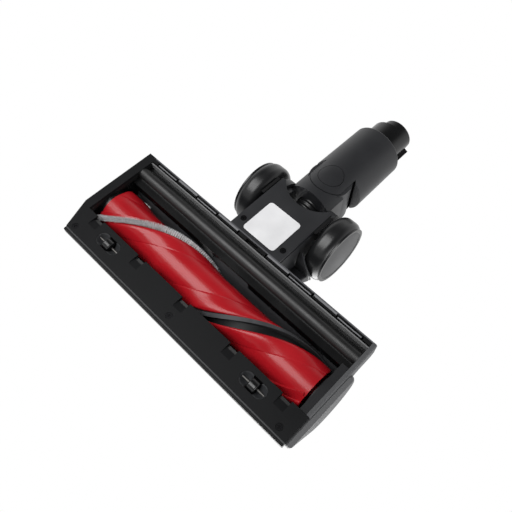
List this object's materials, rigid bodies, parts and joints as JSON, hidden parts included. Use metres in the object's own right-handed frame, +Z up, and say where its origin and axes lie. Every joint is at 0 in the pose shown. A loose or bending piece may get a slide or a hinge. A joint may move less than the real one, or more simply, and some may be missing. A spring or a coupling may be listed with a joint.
{
  "type": "vacuum carpet brush head",
  "caption": "Powered carpet brush head for a cordless stick vacuum: helical brush roller in a low hood, rear wheels and a tilting, swivelling neck with an air spigot.",
  "frame": {"origin": "on the floor, under the middle of the box round the whole part", "axes": "+X to the right seen from the front, +Y from the mouth towards the neck, +Z up"},
  "size_m": [0.2546, 0.2924, 0.059],
  "materials": {
    "charcoal_plastic": "fine matte texture",
    "black_plastic": "satin black",
    "black_rubber": "matte black rubber",
    "strip_rubber": "soft black strip",
    "red_plastic": "gloss red",
    "grey_bristle": "dense pale grey bristle",
    "pale_grey_plastic": "pale grey satin",
    "grey_satin_plastic": "satin mid grey",
    "steel": "bright steel",
    "black_screw": "blackened",
    "contact_brass": "bare contact metal"
  },
  "bodies": {
    "head": {"hood": "charcoal_plastic", "chassis": "black_plastic", "sole_plate": "charcoal_plastic", "bumper_lip": "black_rubber", "rear_seal": "black_rubber", "end_cap": "charcoal_plastic", "drive_cover": "charcoal_plastic", "motor_sleeve": "black_plastic", "brush_motor": "steel", "bearing_carrier": "pale_grey_plastic", "end_bearing": "steel", "neck_housing": "charcoal_plastic", "neck_cover": "charcoal_plastic", "hose": "black_rubber", "left_axle": "steel", "right_axle": "steel", "left_caster_axle": "steel", "right_caster_axle": "steel", "sole_screws": "black_screw", "cover_screws": "black_screw"},
    "roller": {"roller_core": "red_plastic", "bristle_strip": "grey_bristle", "rubber_strip": "strip_rubber", "drive_hub": "black_plastic", "motor_shaft": "steel", "drive_coupling": "black_plastic"},
    "neck": {"yoke": "charcoal_plastic"},
    "tube": {"neck_tube": "charcoal_plastic", "swivel_pin_lower": "charcoal_plastic", "swivel_pin_upper": "charcoal_plastic", "spigot": "black_plastic", "contact_pins": "contact_brass"},
    "left_wheel": {"left_tyre": "black_rubber", "left_hub": "grey_satin_plastic"},
    "right_wheel": {"right_tyre": "black_rubber", "right_hub": "grey_satin_plastic"},
    "left_front_roller": {"left_caster": "black_plastic"},
    "right_front_roller": {"right_caster": "black_plastic"}
  },
  "joints": [
    {"name": "neck_tilt", "type": "hinge", "parent": "head", "child": "neck", "pos_m": [0, 0.00435, 0.0295], "axis": [1, 0, 0], "range_deg": [0, 85], "deforming": ["hose"]},
    {"name": "neck_swivel", "type": "hinge", "parent": "neck", "child": "tube", "pos_m": [0, 0.04505, 0.0283], "axis": [0, 0, 1], "range_deg": [-40, 40]},
    {"name": "roller_spin", "type": "hinge", "parent": "head", "child": "roller", "pos_m": [0, -0.09875, 0.0232], "axis": [1, 0, 0], "continuous": true},
    {"name": "left_wheel_spin", "type": "hinge", "parent": "head", "child": "left_wheel", "pos_m": [-0.04, 0.00435, 0.0295], "axis": [1, 0, 0], "continuous": true},
    {"name": "right_wheel_spin", "type": "hinge", "parent": "head", "child": "right_wheel", "pos_m": [0.04, 0.00435, 0.0295], "axis": [1, 0, 0], "continuous": true},
    {"name": "left_caster_spin", "type": "hinge", "parent": "head", "child": "left_front_roller", "pos_m": [-0.0806, -0.13025, 0.005], "axis": [1, 0, 0], "continuous": true},
    {"name": "right_caster_spin", "type": "hinge", "parent": "head", "child": "right_front_roller", "pos_m": [0.0806, -0.13025, 0.005], "axis": [1, 0, 0], "continuous": true}
  ]
}
